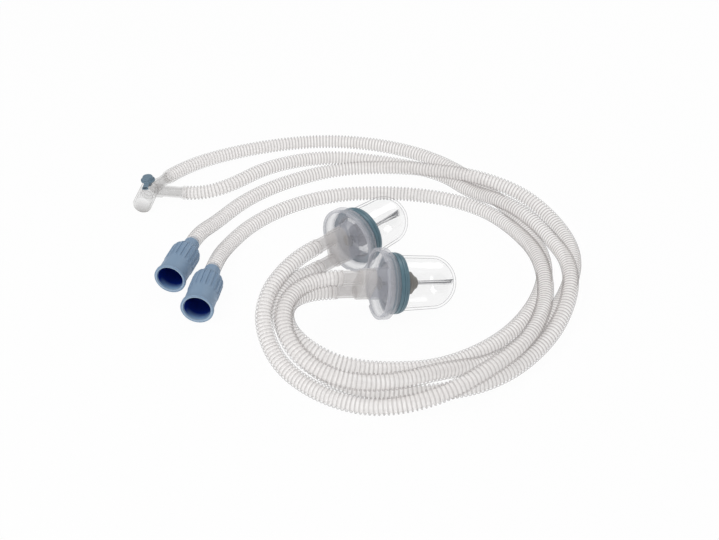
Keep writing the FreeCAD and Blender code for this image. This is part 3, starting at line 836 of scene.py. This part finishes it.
def obround_band(
    length: float, width: float, low: float, high: float, steps: int = 48
) -> bmesh.types.BMesh:
    """The side wall of a prism with round ends along Y.

    Args:
        length: Its length along Y.
        width: Its width along X.
        low: Height where it starts.
        high: Height where it ends.
        steps: Facets of its two round ends together.

    Returns:
        The open band.
    """
    mesh = bmesh.new()
    ring = bmesh.ops.create_circle(mesh, cap_ends=False, segments=steps, radius=width / 2)["verts"]
    bmesh.ops.rotate(mesh, verts=ring, matrix=Matrix.Rotation(math.pi / steps, 3, "Z"))
    shift = (length - width) / 2
    for vert in ring:
        vert.co.y += shift if vert.co.y > 0.0 else -shift
        vert.co.z = low
    grown = bmesh.ops.extrude_edge_only(mesh, edges=mesh.edges[:])["geom"]
    top = [g for g in grown if isinstance(g, bmesh.types.BMVert)]
    bmesh.ops.translate(mesh, verts=top, vec=(0.0, 0.0, high - low))
    bmesh.ops.recalc_face_normals(mesh, faces=mesh.faces[:])
    return mesh


def join(target: bmesh.types.BMesh, other: bmesh.types.BMesh, place: Matrix | None = None) -> None:
    """Add a mesh to another one, and free it.

    Args:
        target: The mesh that grows.
        other: The mesh that it takes in.
        place: Matrix that moves the other mesh first.
    """
    if place is not None:
        bmesh.ops.transform(other, matrix=place, verts=other.verts[:])
    data = bpy.data.meshes.new("joining")
    other.to_mesh(data)
    other.free()
    target.from_mesh(data)
    bpy.data.meshes.remove(data)


@dataclass
class CorrugatedHose:
    """One length of clear hose, blown into rings, with a plain soft end at each fitting."""

    name: str
    node: str
    route: tuple[Point, ...]
    crest_r: float = 7.0
    valley_r: float = 6.05
    bore_r: float = 5.25
    seat: float = 0.15
    pitch: float = 3.36
    plain_end: float = 3.2
    end_share: float = 0.5
    sides: int = 24
    sheath: float = 0.014

    # One ring: share of the pitch, and height from valley to crest
    ring: tuple[tuple[float, float], ...] = (
        (0.0, 0.0), (0.16, 0.04), (0.28, 0.42), (0.36, 0.86),
        (0.5, 1.0), (0.64, 0.86), (0.72, 0.42), (0.84, 0.04),
    )

    def build(self) -> bpy.types.Object:
        """Model the hose along its route.

        Returns:
            The hose.
        """
        line = self._line()
        steps = np.linalg.norm(np.diff(line, axis=0), axis=1)
        along = np.concatenate(([0.0], np.cumsum(steps)))
        length = float(along[-1])
        mesh = self._straight(length / MM)
        self._bend(mesh, line, along)
        hose = self._piece(mesh)
        LOG.info("%s: %.1f mm of hose", self.name, length / MM)
        return hose

    def _line(self) -> np.ndarray:
        """The points of the route's own NURBS spline.

        Returns:
            One row for each point, in metres.
        """
        curve = bpy.data.curves.new(self.name + "_line", "CURVE")
        curve.dimensions = "3D"
        curve.resolution_u = 24
        spline = curve.splines.new("NURBS")
        spline.points.add(len(self.route) - 1)
        for point, place in zip(spline.points, self.route):
            point.co = (*place, 1.0)
        spline.order_u = 3
        spline.use_endpoint_u = True
        holder = bpy.data.objects.new(self.name + "_line", curve)
        bpy.context.scene.collection.objects.link(holder)
        data = bpy.data.meshes.new_from_object(holder)
        line = np.array([tuple(v.co) for v in data.vertices], float)
        bpy.data.meshes.remove(data)
        bpy.data.objects.remove(holder)
        bpy.data.curves.remove(curve)
        return line

    def _straight(self, length: float) -> bmesh.types.BMesh:
        """The hose before it is bent, along +Z, in millimetres.

        Args:
            length: Its length.

        Returns:
            The closed mesh.
        """
        length -= self.seat
        ringed = length - 2.0 * self.plain_end
        count = round(ringed / self.pitch)
        pitch = ringed / count
        height = self.crest_r - self.valley_r
        pen = Pen((self.crest_r - 0.4, self.seat)).line((self.crest_r, self.seat + 0.3))
        pen.line((self.crest_r, self.plain_end - 0.6))
        for i in range(count):
            for share, rise in self.ring:
                pen.line((self.valley_r + height * rise, self.plain_end + (i + share) * pitch))
        end = length - self.plain_end
        pen.line((self.valley_r, end), (self.crest_r, end + 0.6), (self.crest_r, length - 0.3))
        pen.line((self.crest_r - 0.4, length), (self.bore_r, length))
        for i in range(count, -1, -1):
            pen.line((self.bore_r, self.plain_end + i * pitch))
        return pen.line((self.bore_r, self.seat)).close().turn(self.sides)

    def _bend(self, mesh: bmesh.types.BMesh, line: np.ndarray, along: np.ndarray) -> None:
        """Carry the straight hose to its line, without a twist.

        Args:
            mesh: The straight hose, in millimetres.
            line: Points of the line, in metres.
            along: Length of the line at each point.
        """
        tangent = np.gradient(line, along, axis=0)
        tangent /= np.linalg.norm(tangent, axis=1)[:, None]
        normal = np.zeros_like(line)
        side = np.cross(tangent[0], (0.0, 0.0, 1.0))
        normal[0] = side / np.linalg.norm(side)
        for i in range(1, len(line)):
            n = normal[i - 1] - tangent[i] * float(np.dot(normal[i - 1], tangent[i]))
            normal[i] = n / np.linalg.norm(n)
        binormal = np.cross(tangent, normal)
        verts = np.array([tuple(v.co) for v in mesh.verts], float) * MM
        s = np.clip(verts[:, 2], 0.0, along[-1])

        def at(values: np.ndarray) -> np.ndarray:
            """Values of the line at each vertex's length."""
            return np.stack([np.interp(s, along, values[:, k]) for k in range(3)], axis=1)

        moved = at(line) + at(normal) * verts[:, :1] + at(binormal) * verts[:, 1:2]
        ridge = mesh.verts.layers.float.new("ridge")
        radius = np.hypot(verts[:, 0], verts[:, 1]) / MM
        rise = np.clip((radius - self.valley_r) / (self.crest_r - self.valley_r), 0.0, 1.0)
        plain = self.plain_end * MM
        ends = (verts[:, 2] / MM < self.plain_end) | (verts[:, 2] > along[-1] - plain)
        rise[ends] *= self.end_share
        rise[radius < self.bore_r + 0.1] = -1.0
        for vert, place, value in zip(mesh.verts, moved, rise):
            vert.co = place
            vert[ridge] = float(value)
        bmesh.ops.recalc_face_normals(mesh, faces=mesh.faces[:])

    def _piece(self, mesh: bmesh.types.BMesh) -> bpy.types.Object:
        """Make the hose a piece of the circuit."""
        return add_piece(
            self.name, mesh, HOSE_PVC, Body.CIRCUIT.value, [self.node], smooth_degrees=50.0
        )


@dataclass
class WaterTrap:
    """A water trap: grey lid and manifold, teal collar, soft valve and clear jar with its rod."""

    side: Side
    x: float
    y: float
    azimuth: float
    tilt: float
    twist: float
    lid_r: float = 29.8
    lid_depth: float = 8.4
    lid_chamfer: float = 0.9
    web_density: float = 0.42
    chamber_density: float = 0.32
    rim_density: float = 0.55
    place: Matrix = field(init=False)

    def __post_init__(self) -> None:
        """Find where the trap stands: the rim of its lid is on the table."""
        axis = heading(self.azimuth, self.tilt)
        tilt = math.radians(self.tilt)
        height = self.lid_r * math.cos(tilt)
        height += (self.lid_depth - self.lid_chamfer) * math.sin(tilt)
        up = (Vector((0.0, 0.0, 1.0)) - axis * axis.z).normalized()
        across = axis.cross(up)
        twist = math.radians(self.twist)
        line = up * math.cos(twist) + across * math.sin(twist)
        self.place = frame_matrix(Vector((self.x, self.y, height)), axis, line)

    def build(self) -> None:
        """Model all the trap's pieces."""
        self._lid()
        self._manifold()
        self._collar()
        self._ring()
        self._valve()
        self._jar()
        self._rod()

    def _name(self, piece: str) -> str:
        """Name of this trap's piece or node."""
        return f"{self.side.value}_{piece}"

    def _body(self, body: Body) -> str:
        """Name of this trap's body."""
        return f"{self.side.value}_{body.value}"

    def _lid(self) -> None:
        """The lid: rim, web, skirt and neck in one turned piece, fins and half of the chamber."""
        mesh = (
            Pen((4.2, 6.4))
            .line((24.0, 6.4), (27.8, 6.4), (27.8, 1.4), (27.1, 1.4), (27.1, 0.0), (29.35, 0.0))
            .line((29.8, 0.45))
            .line((29.8, 7.5), (28.9, 8.4), (26.6, 8.4), (25.4, 12.3), (24.1, 12.3), (25.25, 8.4))
            .line((19.0, 8.4), (19.0, 12.05), (17.7, 12.05), (17.7, 13.75), (19.0, 13.75))
            .line((19.0, 16.4), (18.4, 17.0), (16.4, 17.0), (16.4, 8.4), (4.2, 8.4))
            .close().turn(120)
        )
        for vert in mesh.verts:
            radius = math.hypot(vert.co.x, vert.co.y)
            if vert.co.z < 1.5 and abs(vert.co.x) < 3.5 and radius > 27.0:
                vert.co.z = 1.6
        chamber = obround_band(35.2, 17.2, -4.7, 6.5)
        bmesh.ops.solidify(chamber, geom=chamber.faces[:], thickness=2.2)
        join(mesh, chamber)
        for i in range(4):
            fin = bmesh.new()
            bmesh.ops.create_cube(
                fin, size=1.0,
                matrix=Matrix.Translation((7.1, 0.0, 13.15))
                @ Matrix.Diagonal((3.8, 1.4, 9.7, 1.0)),
            )
            join(mesh, fin, Matrix.Rotation(math.radians(45.0 + 90.0 * i), 4, "Z"))
        dense = mesh.verts.layers.float.new("dense")
        for vert in mesh.verts:
            radius = math.hypot(vert.co.x, vert.co.y)
            if radius > 27.0 and vert.co.z < 2.0:
                vert[dense] = self.rim_density
            elif radius < 24.3 and vert.co.z < 9.0:
                vert[dense] = self.web_density if vert.co.z > 6.0 else self.chamber_density
        add_piece(
            self._name("lid_shell"), mesh, SMOKE, Body.CIRCUIT.value, [self._name("lid")],
            self.place, bevel_mm=0.25,
        )

    def _manifold(self) -> None:
        """The rear half of the chamber with its two ports."""
        mesh = obround_band(34.0, 16.0, -17.0, -4.7)
        rim = [e for e in mesh.edges if e.is_boundary and e.verts[0].co.z < -16.0]
        bmesh.ops.holes_fill(mesh, edges=rim, sides=0)
        bmesh.ops.recalc_face_normals(mesh, faces=mesh.faces[:])
        corner = [e for e in mesh.edges if not e.is_boundary and e.calc_face_angle(0.0) > 1.0]
        bmesh.ops.bevel(
            mesh, geom=corner, offset=1.2, offset_type="OFFSET", segments=3, profile=0.5,
            affect="EDGES", material=-1, clamp_overlap=True,
        )
        bmesh.ops.solidify(mesh, geom=mesh.faces[:], thickness=1.6)
        for side in (-1.0, 1.0):
            port = (
                Pen((4.0, -16.0)).line((6.0, -16.0), (6.0, -31.8), (6.5, -31.9), (6.5, -33.0))
                .line((5.1, -33.0), (5.1, -36.5), (4.6, -37.0), (4.0, -37.0)).close().turn(48)
            )
            join(mesh, port, Matrix.Translation((0.0, side * 10.0, 0.0)))
        add_piece(
            self._name("manifold_shell"), mesh, MANIFOLD_SMOKE, Body.CIRCUIT.value,
            [self._name("manifold")], self.place, bevel_mm=0.2,
        )

    def _collar(self) -> None:
        """The soft collar with its grooves and the slot that holds the jar."""
        mesh = (
            Pen((19.3, 8.7)).line((23.8, 8.7), (23.8, 12.6), (25.7, 12.6), (25.7, 15.1))
            .line((25.1, 15.25), (25.1, 15.75), (25.7, 15.9), (25.5, 17.2), (25.0, 17.35))
            .line((24.95, 17.7), (25.3, 17.9), (24.4, 20.0), (23.5, 20.0), (23.5, 14.0))
            .line((20.9, 14.0), (20.9, 20.0), (19.3, 20.0)).close().turn(120)
        )
        add_piece(
            self._name("collar_skin"), mesh, TEAL, self._body(Body.COLLAR),
            [self._name("collar")], self.place, bevel_mm=0.15,
        )

    def _ring(self) -> None:
        """The seal ring keeps its frame node, in black rubber."""
        node = bpy.data.objects[self._name("seal_ring")]
        for slot in node.material_slots:
            slot.material = RING_RUBBER.material()

    def _valve(self) -> None:
        """The valve: a stepped soft cone with its stem and plate."""
        mesh = (
            Pen((0.0, 1.9)).line((5.5, 1.9), (5.5, 3.1), (1.6, 3.1), (1.6, 32.1), (3.8, 32.1))
            .line((6.0, 30.2), (8.2, 28.5), (9.3, 26.4), (9.3, 14.0), (10.5, 14.0), (10.5, 27.0))
            .line((9.5, 27.6), (9.45, 29.5), (7.3, 30.4), (7.25, 31.5), (5.25, 32.2), (5.2, 34.0))
            .line((4.5, 34.7), (0.0, 34.7)).turn(64)
        )
        add_piece(
            self._name("valve_cone"), mesh, VALVE_RUBBER, self._body(Body.VALVE),
            [self._name("valve")], self.place, bevel_mm=0.2,
        )

    def _jar(self) -> None:
        """The crystal jar: a thin straight wall and a deep dome."""
        pen = Pen((21.2, 14.3)).line((23.2, 14.3), (23.2, 20.0), (22.2, 49.0))
        pen = self._dome(pen, 22.2, 20.0, 17.0, 69.0, True)
        pen.line((0.0, 67.0))
        pen = self._dome(pen, 20.2, 18.0, 15.0, 67.0, False)
        mesh = pen.line((21.2, 20.0)).close().turn(96)
        add_piece(
            self._name("jar_shell"), mesh, CRYSTAL, self._body(Body.JAR), [self._name("jar")],
            self.place, smooth_degrees=50.0,
        )

    def _dome(
        self, pen: Pen, radius: float, height: float, side: float, crown: float, outward: bool
    ) -> Pen:
        """Draw the jar's dome as two tangent arcs.

        Args:
            pen: The pen, at the wall when outward, else at the crown.
            radius: Radius of the wall.
            height: Height of the dome above the wall.
            side: Radius of the arc at the wall.
            crown: Height of the crown.
            outward: True from the wall to the crown.

        Returns:
            The pen.
        """
        low = crown - height
        inset = radius - side
        big = (height ** 2 + inset ** 2 - side ** 2) / (2 * (height - side))
        middle = crown - big
        slope = math.degrees(math.atan2(low - middle, inset))
        if outward:
            return pen.arc((inset, low), slope, 10).arc((0.0, middle), 90.0 - slope, 14)
        return pen.arc((0.0, middle), slope - 90.0, 14).arc((inset, low), -slope, 10)

    def _rod(self) -> None:
        """The rod that holds the valve open: round at its tip, a flat flare at the dome."""
        mesh = bmesh.new()
        bmesh.ops.create_cone(
            mesh, cap_ends=True, segments=16, radius1=1.7, radius2=1.7, depth=12.0,
            matrix=Matrix.Translation((0.0, 0.0, 41.0)),
        )
        top = [f for f in mesh.faces if f.calc_center_median().z > 46.9 and len(f.verts) > 4]
        for height, wide, thick in ((53.0, 2.3, 1.65), (60.0, 2.95, 1.6), (67.6, 3.7, 1.5)):
            grown = bmesh.ops.extrude_face_region(mesh, geom=top)["geom"]
            bmesh.ops.delete(mesh, geom=top, context="FACES")
            verts = [g for g in grown if isinstance(g, bmesh.types.BMVert)]
            top = [g for g in grown if isinstance(g, bmesh.types.BMFace)]
            for vert in verts:
                angle = math.atan2(vert.co.y, vert.co.x)
                vert.co = Vector((thick * math.cos(angle), wide * math.sin(angle), height))
        # Every third facet carries a painted dark streak that stands in for the light the rod
        # bends.
        painted_streak = mesh.verts.layers.float.new("painted_streak")
        for vert in mesh.verts:
            sector = round(math.atan2(vert.co.y, vert.co.x) / (math.pi / 8.0))
            vert[painted_streak] = 1.0 if sector % 3 == 0 else 0.0
        bmesh.ops.recalc_face_normals(mesh, faces=mesh.faces[:])
        add_piece(
            self._name("jar_rod"), mesh, ROD_CLEAR, self._body(Body.JAR), (), self.place,
            smooth_degrees=20.0,
        )


@dataclass
class MachineCuff:
    """A blue cuff for the machine: flange, smooth barrel, ribbed shoulder and a bore darkened with
    painted shade.
    """

    node: str
    x: float
    y: float
    azimuth: float
    mouth_r: float = 12.0
    bore_r: float = 11.0
    bore_depth: float = 26.0
    throat_at: float = 41.0
    rib_count: int = 18
    rib_height: float = 0.55
    groove_depth: float = 0.5
    rib_from: float = 19.6
    rib_to: float = 45.6
    rib_foot: float = 0.62
    rib_slope: float = 0.22
    facets_per_rib: int = 10

    def build(self) -> None:
        """Model the cuff: a turned shell, whose shoulder is drawn out into ribs."""
        pen = Pen((self.mouth_r, 0.0)).line((13.5, 0.0), (14.0, 0.5), (14.0, 2.6), (13.7, 3.0))
        pen.line((12.95, 3.4), (12.9, 4.0), (12.9, 8.0), (12.9, 13.0), (12.9, 18.0))
        for i in range(14):
            pen.line((12.9, 19.0 + 1.3 * i))
        pen.line((12.9, 37.0), (12.9, 38.0)).arc((3.19, 37.27), 59.4, 10)
        pen.line((7.5, 47.5), (7.5, 51.8), (7.0, 52.3), (7.0, 56.0), (5.1, 56.0), (5.1, 61.5))
        pen.line((4.6, 62.0), (4.0, 62.0), (4.0, self.throat_at), (self.bore_r, self.bore_depth))
        for i in range(5, 0, -1):
            pen.line((self.bore_r, 1.6 + i * (self.bore_depth - 1.6) / 6.0))
        pen.line((self.bore_r, 1.6))
        mesh = pen.close().turn(self.rib_count * self.facets_per_rib)
        self._draw_ribs(mesh)
        # The bore attribute paints shade: it grows with depth into the bore and starts lower on
        # the bore's underside, where painted light falls; -1 marks the mouth's face for a painted
        # highlight.
        bore = mesh.verts.layers.float.new("bore")
        for vert in mesh.verts:
            radius = math.hypot(vert.co.x, vert.co.y)
            limit = self.mouth_r if vert.co.z < 1.0 else self.bore_r
            inside = radius < limit + 0.05 and vert.co.z < self.throat_at + 0.1
            painted_shade_floor = 0.05 + 0.2 * min(1.0, 1.2 * max(0.0, 1.0 + vert.co.y / radius))
            vert[bore] = max(painted_shade_floor, vert.co.z / self.throat_at) if inside else 0.0
            if vert.co.z < 0.2 and radius < 13.0:
                vert[bore] = -1.0
        place = frame_matrix(
            Vector((self.x, self.y, 14.0)), heading(self.azimuth), Vector((0.0, 0.0, 1.0))
        )
        add_piece(
            self.node + "_skin", mesh, CUFF_VINYL, Body.CIRCUIT.value, [self.node], place,
            smooth_degrees=40.0,
        )

    def _draw_ribs(self, mesh: bmesh.types.BMesh) -> None:
        """Draw the ribs out of the barrel and the shoulder.

        Args:
            mesh: The turned cuff.
        """
        sector = FULL_TURN / self.rib_count
        for vert in mesh.verts:
            radius = math.hypot(vert.co.x, vert.co.y)
            solid = radius > self.bore_r + 0.1 or vert.co.z > self.throat_at + 1.0
            if radius < 7.55 or not solid or not self.rib_from < vert.co.z < self.rib_to:
                continue
            angle = math.atan2(vert.co.y, vert.co.x) / sector
            off = abs(angle - round(angle)) * 2.0
            side = min(1.0, max(0.0, (self.rib_foot - off) / self.rib_slope))
            start = min(1.0, (vert.co.z - self.rib_from) / 1.2)
            end = min(1.0, (self.rib_to - vert.co.z) / 1.0)
            rise = self.rib_height * side - self.groove_depth * (1.0 - side)
            grow = 1.0 + rise * start * end / radius
            vert.co.x *= grow
            vert.co.y *= grow


@dataclass
class PatientWye:
    """The clear wye at the patient's end, with the slate cap on its test port."""

    hub: Point = (-137.4, 91.8, 9.0)
    patient_azimuth: float = -94.5
    tube_r: float = 9.0
    tube_length: float = 28.0
    lip_density: float = 0.6
    arm_density: float = 0.2
    inner_r: float = 6.0
    socket_r: float = 7.5
    socket_from: float = 13.0
    stand_r: float = 6.1
    port_r: float = 3.4
    body_top: float = 19.6
    arm_ends: tuple[Point, ...] = ((-123.4, 117.8, 8.0), (-103.9, 88.8, 7.8))
    cap_r: float = 6.9
    knob_r: float = 5.4
    tab_width: float = 5.2
    tab_reach: float = 16.4

    def build(self) -> None:
        """Model the wye and its cap."""
        hub = Vector(self.hub)
        mesh = self._patient_tube()
        tube_place = frame_matrix(hub, heading(self.patient_azimuth), Vector((0.0, 0.0, 1.0)))
        bmesh.ops.transform(mesh, matrix=tube_place, verts=mesh.verts[:])
        join(mesh, self._body(), Matrix.Scale(MM, 4) @ Matrix.Translation((hub.x, hub.y, 0.0)))
        for end in self.arm_ends:
            axis = Vector(end) - hub
            arm = self._arm(axis.length)
            join(mesh, arm, frame_matrix(hub, axis, Vector((0.0, 0.0, 1.0))))
        add_piece(
            "patient_wye_shell", mesh, WYE_CLEAR, Body.CIRCUIT.value, ["patient_wye"],
            smooth_degrees=35.0,
        )
        self._cap(hub)

    def _patient_tube(self) -> bmesh.types.BMesh:
        """The patient tube with its 15 mm socket, along +Z.

        Returns:
            The closed wall of the tube.
        """
        r, end = self.tube_r, self.tube_length
        pen = Pen((self.socket_r, end)).line((r - 0.3, end), (r, end - 0.3), (r, 3.0), (r, 0.0))
        pen.line((self.inner_r, 0.0), (self.inner_r, self.socket_from))
        mesh = pen.line((self.socket_r, self.socket_from)).close().turn(72)
        dense = mesh.verts.layers.float.new("dense")
        for vert in mesh.verts:
            if vert.co.z > end - 0.4 and math.hypot(vert.co.x, vert.co.y) > r - 0.4:
                vert[dense] = self.lip_density * max(0.0, 0.25 - vert.co.y / r)
        return mesh

    def _body(self) -> bmesh.types.BMesh:
        """The round hub that carries the upright test port and both arms.

        Returns:
            The closed wall of the body.
        """
        middle = (0.0, self.hub[2])
        outside = math.acos(self.stand_r / self.tube_r)
        inside = math.acos(self.port_r / self.inner_r)
        foot = self.hub[2] + self.inner_r * math.sin(inside)
        pen = Pen((0.0, self.hub[2] - self.tube_r)).arc(middle, 90.0 + math.degrees(outside), 24)
        pen.line((self.stand_r, self.body_top - 0.3), (self.stand_r - 0.3, self.body_top))
        pen.line((self.port_r, self.body_top), (self.port_r, foot))
        return pen.arc(middle, -90.0 - math.degrees(inside), 20).turn(72)

    def _arm(self, length: float) -> bmesh.types.BMesh:
        """One hose arm, along +Z from the hub, with its spigot.

        Args:
            length: Its length from the hub to the hose.

        Returns:
            The closed wall of the arm.
        """
        pen = Pen((4.1, 6.6)).line((6.6, 6.6), (6.6, 13.2), (5.8, 14.0), (5.5, 14.2))
        pen.line((5.5, length - 2.0), (5.8, length - 1.7), (5.8, length), (5.1, length))
        pen.line((5.1, length + 3.6))
        mesh = pen.line((4.7, length + 4.0), (4.1, length + 4.0)).close().turn(56)
        dense = mesh.verts.layers.float.new("dense")
        for vert in mesh.verts:
            vert[dense] = self.arm_density
        return mesh

    def _cap(self, hub: Vector) -> None:
        """The cap: flange, domed knob, plug and the finger tab over the patient tube.

        Args:
            hub: Centre of the wye, in millimetres.
        """
        low = self.body_top
        r, knob = self.cap_r, self.knob_r
        mesh = (
            Pen((0.0, low - 5.0)).line((2.95, low - 5.0), (3.35, low - 4.6), (3.35, low))
            .line((r - 0.3, low), (r, low + 0.3), (r, low + 1.4), (r - 0.4, low + 1.8))
            .line((knob + 0.1, low + 1.8), (knob, low + 2.0), (knob - 0.3, low + 4.1))
            .line((knob - 0.6, low + 4.7), (knob - 1.2, low + 5.0), (knob - 2.2, low + 4.9))
            .line((0.0, low + 4.8)).turn(64)
        )
        tab = bmesh.new()
        inside = self.knob_r / 2
        reach = self.tab_reach - inside
        bmesh.ops.create_cube(
            tab, size=1.0,
            matrix=Matrix.Translation((0.0, -inside - reach / 2, low + 0.7))
            @ Matrix.Diagonal((self.tab_width, reach, 1.4, 1.0)),
        )
        tip = bmesh.new()
        bmesh.ops.create_cube(
            tip, size=1.0,
            matrix=Matrix.Translation((0.0, -self.tab_reach + 0.7, low + 0.2))
            @ Matrix.Diagonal((self.tab_width + 0.8, 1.4, 2.4, 1.0)),
        )
        for block in (tab, tip):
            bmesh.ops.bevel(
                block, geom=block.edges[:], offset=0.45, offset_type="OFFSET", segments=2,
                profile=0.5, affect="EDGES", material=-1,
            )
            join(mesh, block)
        add_piece(
            "port_cap_skin", mesh, CAP_VINYL, Body.CAP.value, ["port_cap"],
            Matrix.Scale(MM, 4) @ Matrix.Translation((hub.x, hub.y, 0.0)),
            smooth_degrees=30.0, bevel_mm=0.0,
        )


def main() -> None:
    """Build the camera, the hoses, the fittings and the studio, in that order."""
    logging.basicConfig(level=logging.INFO, format="%(name)s: %(message)s")
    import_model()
    Viewpoint().build()
    for letter, route in (("a", ROUTE_A), ("b", ROUTE_B), ("c", ROUTE_C), ("d", ROUTE_D)):
        CorrugatedHose(f"hose_{letter}_rings", f"hose_{letter}", route).build()
    WaterTrap(Side.FRONT, 84.4, -96.7, 16.0, 9.5, 24.0).build()
    WaterTrap(Side.BACK, 58.5, -32.8, 45.5, 0.0, -9.0).build()
    MachineCuff("machine_cuff_c", -92.6, -67.0, 78.0).build()
    MachineCuff("machine_cuff_d", -63.8, -109.7, 83.5).build()
    PatientWye().build()
    Studio().build()
    bpy.context.scene.cycles.transparent_max_bounces = CLEAR_WALLS


if __name__ == "__main__":
    main()
